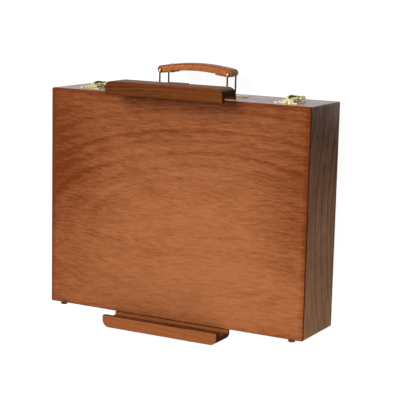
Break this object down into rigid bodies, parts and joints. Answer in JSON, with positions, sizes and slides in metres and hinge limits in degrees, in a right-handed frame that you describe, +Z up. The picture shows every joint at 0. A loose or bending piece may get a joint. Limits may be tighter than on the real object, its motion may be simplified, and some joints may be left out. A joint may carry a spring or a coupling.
{
  "type": "table box easel",
  "caption": "Shallow stained-wood case that opens as a tilting table easel, with a canvas ledge, a sliding canvas clamp, draw latches, lid stays and a leather carrying handle.",
  "frame": {"origin": "middle of the underside of the closed case, which lies on its back panel", "axes": "+X along the hinge edge to the right, +Y from the hinge edge to the latch and handle edge, +Z up out of the easel board"},
  "size_m": [0.34, 0.3111, 0.11],
  "materials": {
    "easel_board_ply": "walnut-stained plywood, satin lacquer",
    "back_panel_ply": "walnut-stained plywood, satin lacquer",
    "case_beech": "walnut-stained beech, satin lacquer",
    "tray_ply": "lightly stained plywood, matt",
    "holder_beech": "walnut-stained beech, satin lacquer",
    "mast_beech": "beech, waxed",
    "brass_plate": "bright brass plate",
    "brass_screw": "bright brass",
    "bail_wire": "antique plated steel wire",
    "grip_leather": "tan leather, burnished edges",
    "knob_plastic": "dark brown moulded",
    "bumper_rubber": "dark brown rubber"
  },
  "bodies": {
    "base": {"base_panel": "back_panel_ply", "base_wall_hinge_side": "case_beech", "base_wall_handle_side": "case_beech", "base_wall_left": "case_beech", "base_wall_right": "case_beech", "tray_side_left": "tray_ply", "tray_side_right": "tray_ply", "divider_long": "tray_ply", "dividers_cross": "tray_ply", "hinge_leaf_base_left": "brass_plate", "hinge_leaf_base_right": "brass_plate", "hinge_pins": "brass_screw", "latch_plate_left": "brass_plate", "latch_plate_right": "brass_plate", "latch_pins": "brass_screw", "stay_track_left": "brass_plate", "stay_track_right": "brass_plate", "bail_clip_left": "brass_plate", "bail_clip_right": "brass_plate", "bail_clip_screws": "brass_screw", "base_screws": "brass_screw", "base_bumpers": "bumper_rubber"},
    "lid": {"lid_panel": "easel_board_ply", "lid_wall_hinge_side": "case_beech", "lid_wall_handle_side": "case_beech", "lid_wall_left": "case_beech", "lid_wall_right": "case_beech", "mast_rail_left": "mast_beech", "mast_rail_right": "mast_beech", "mast_cover": "mast_beech", "hinge_leaf_lid_left": "brass_plate", "hinge_leaf_lid_right": "brass_plate", "latch_catch_left": "brass_plate", "latch_catch_right": "brass_plate", "stay_bracket_left": "brass_plate", "stay_bracket_right": "brass_plate", "lid_screws": "brass_screw", "lid_bumpers": "bumper_rubber"},
    "clamp": {"clamp_block": "holder_beech", "clamp_mast": "mast_beech", "clamp_screws": "brass_screw"},
    "clamp_knob": {"clamp_knob": "knob_plastic"},
    "ledge": {"ledge_block": "holder_beech", "ledge_slide": "mast_beech", "ledge_screws": "brass_screw"},
    "ledge_knob": {"ledge_knob": "knob_plastic"},
    "stay_left": {"stay_arm_left": "brass_plate", "stay_bolt_left": "brass_plate"},
    "stay_right": {"stay_arm_right": "brass_plate", "stay_bolt_right": "brass_plate"},
    "stay_nut_left": {"stay_nut_left": "brass_plate"},
    "stay_nut_right": {"stay_nut_right": "brass_plate"},
    "latch_lever_left": {"latch_lever_left": "brass_plate"},
    "latch_lever_right": {"latch_lever_right": "brass_plate"},
    "latch_link_left": {"latch_link_left": "brass_plate"},
    "latch_link_right": {"latch_link_right": "brass_plate"},
    "bail_left": {"bail_left": "bail_wire"},
    "bail_right": {"bail_right": "bail_wire"},
    "grip": {"handle_grip": "grip_leather", "grip_rivets": "brass_screw"}
  },
  "joints": [
    {"name": "lid_hinge", "type": "hinge", "parent": "base", "child": "lid", "pos_m": [0, -0.1344, 0.044], "axis": [1, 0, 0], "range_deg": [0, 60]},
    {"name": "clamp_slide", "type": "slide", "parent": "lid", "child": "clamp", "axis": [0, 1, 0], "range_m": [0, 0.12]},
    {"name": "ledge_slide_out", "type": "slide", "parent": "lid", "child": "ledge", "axis": [0, -1, 0], "range_m": [0, 0.03]},
    {"name": "clamp_knob_turn", "type": "hinge", "parent": "clamp", "child": "clamp_knob", "pos_m": [0, -0.048, 0.0606], "axis": [0, 0, 1], "range_deg": [0, 270]},
    {"name": "ledge_knob_turn", "type": "hinge", "parent": "ledge", "child": "ledge_knob", "pos_m": [0, -0.08, 0.0606], "axis": [0, 0, 1], "range_deg": [0, 270]},
    {"name": "stay_swing_left", "type": "hinge", "parent": "lid", "child": "stay_left", "pos_m": [-0.1552, -0.05484, 0.05236], "axis": [1, 0, 0], "range_deg": [-120, 0]},
    {"name": "stay_nut_turn_left", "type": "hinge", "parent": "stay_left", "child": "stay_nut_left", "pos_m": [-0.151, 0.01707, 0.01729], "axis": [1, 0, 0], "range_deg": [0, 180]},
    {"name": "latch_lever_turn_left", "type": "hinge", "parent": "base", "child": "latch_lever_left", "pos_m": [-0.13, 0.1351, 0.038], "axis": [1, 0, 0], "range_deg": [0, 100]},
    {"name": "latch_link_turn_left", "type": "hinge", "parent": "latch_lever_left", "child": "latch_link_left", "pos_m": [-0.13, 0.1345, 0.033], "axis": [1, 0, 0], "range_deg": [-110, 0]},
    {"name": "stay_swing_right", "type": "hinge", "parent": "lid", "child": "stay_right", "pos_m": [0.1552, -0.05484, 0.05236], "axis": [1, 0, 0], "range_deg": [-120, 0]},
    {"name": "stay_nut_turn_right", "type": "hinge", "parent": "stay_right", "child": "stay_nut_right", "pos_m": [0.151, 0.01707, 0.01729], "axis": [1, 0, 0], "range_deg": [0, 180]},
    {"name": "latch_lever_turn_right", "type": "hinge", "parent": "base", "child": "latch_lever_right", "pos_m": [0.13, 0.1351, 0.038], "axis": [1, 0, 0], "range_deg": [0, 100]},
    {"name": "latch_link_turn_right", "type": "hinge", "parent": "latch_lever_right", "child": "latch_link_right", "pos_m": [0.13, 0.1345, 0.033], "axis": [1, 0, 0], "range_deg": [-110, 0]},
    {"name": "handle_swing", "type": "hinge", "parent": "base", "child": "bail_left", "pos_m": [-0.045, 0.13385, 0.0285], "axis": [0, 0, 1], "range_deg": [-70, 70]},
    {"name": "grip_turn", "type": "hinge", "parent": "bail_left", "child": "grip", "pos_m": [-0.045, 0.158, 0.0285], "axis": [0, 0, 1], "range_deg": [-70, 70]},
    {"name": "bail_swing_right", "type": "hinge", "parent": "base", "child": "bail_right", "pos_m": [0.045, 0.13385, 0.0285], "axis": [0, 0, 1], "range_deg": [-70, 70]}
  ],
  "couplings": [
    {"joint": "stay_swing_left", "follows": "lid_hinge", "ratio": -2},
    {"joint": "latch_link_turn_left", "follows": "latch_lever_turn_left", "ratio": -1.1},
    {"joint": "stay_swing_right", "follows": "lid_hinge", "ratio": -2},
    {"joint": "latch_link_turn_right", "follows": "latch_lever_turn_right", "ratio": -1.1},
    {"joint": "grip_turn", "follows": "handle_swing", "ratio": -1},
    {"joint": "bail_swing_right", "follows": "handle_swing", "ratio": 1}
  ]
}
